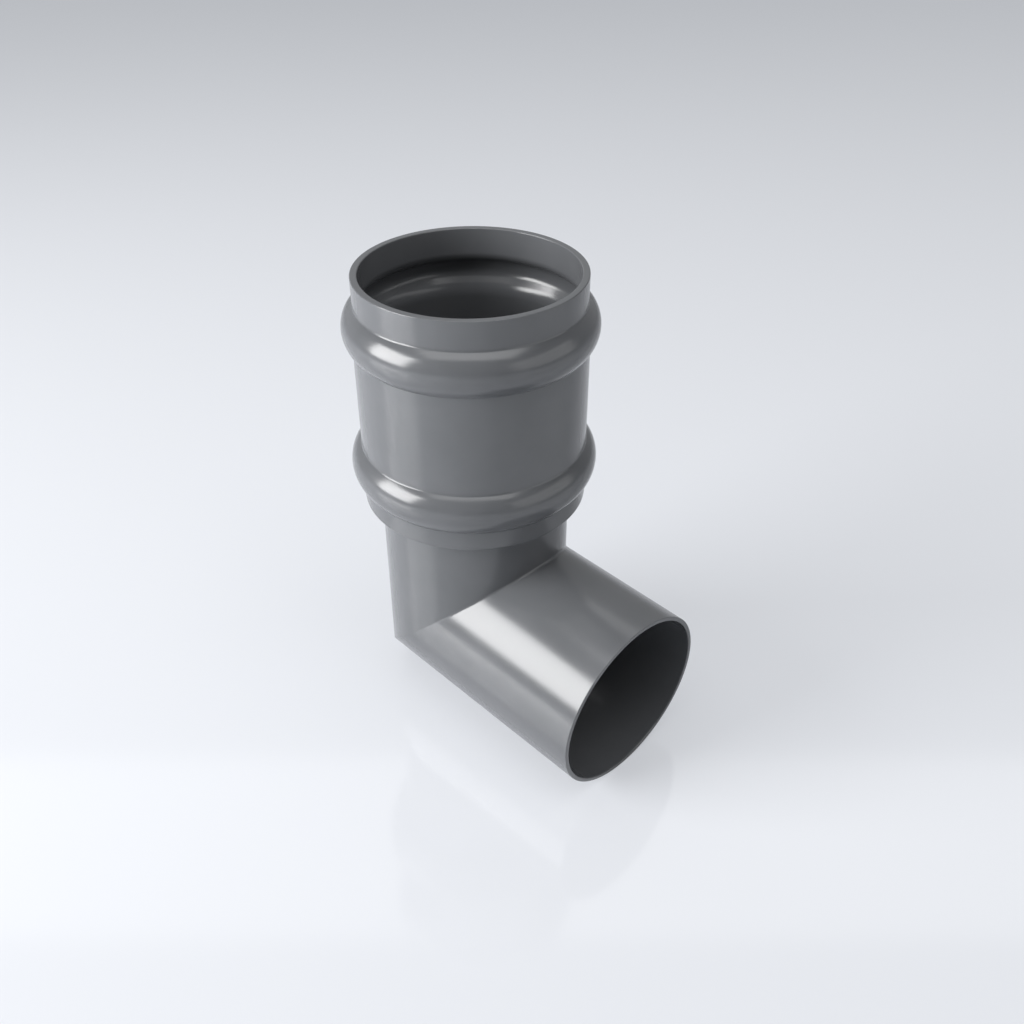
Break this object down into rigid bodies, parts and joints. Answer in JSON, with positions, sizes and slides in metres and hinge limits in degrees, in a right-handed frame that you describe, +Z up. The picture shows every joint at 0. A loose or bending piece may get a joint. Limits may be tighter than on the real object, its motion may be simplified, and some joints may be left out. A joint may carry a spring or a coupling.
{
  "type": "downpipe bend",
  "caption": "Moulded plastic rainwater downpipe bend: a beaded socket on top, a sharp mitred corner and a plain spigot outlet.",
  "frame": {"origin": "centre of the socket's mouth", "axes": "+Z up the socket's axis, out of its mouth; the spigot points along +X and falls 2.5 degrees below level; the part is the same on both sides of the XZ plane"},
  "size_m": [0.1381, 0.097, 0.1922],
  "materials": {
    "grey_plastic": "satin, with a very fine moulded grain"
  },
  "bodies": {
    "root": {"downpipe_bend": "grey_plastic"}
  },
  "joints": []
}
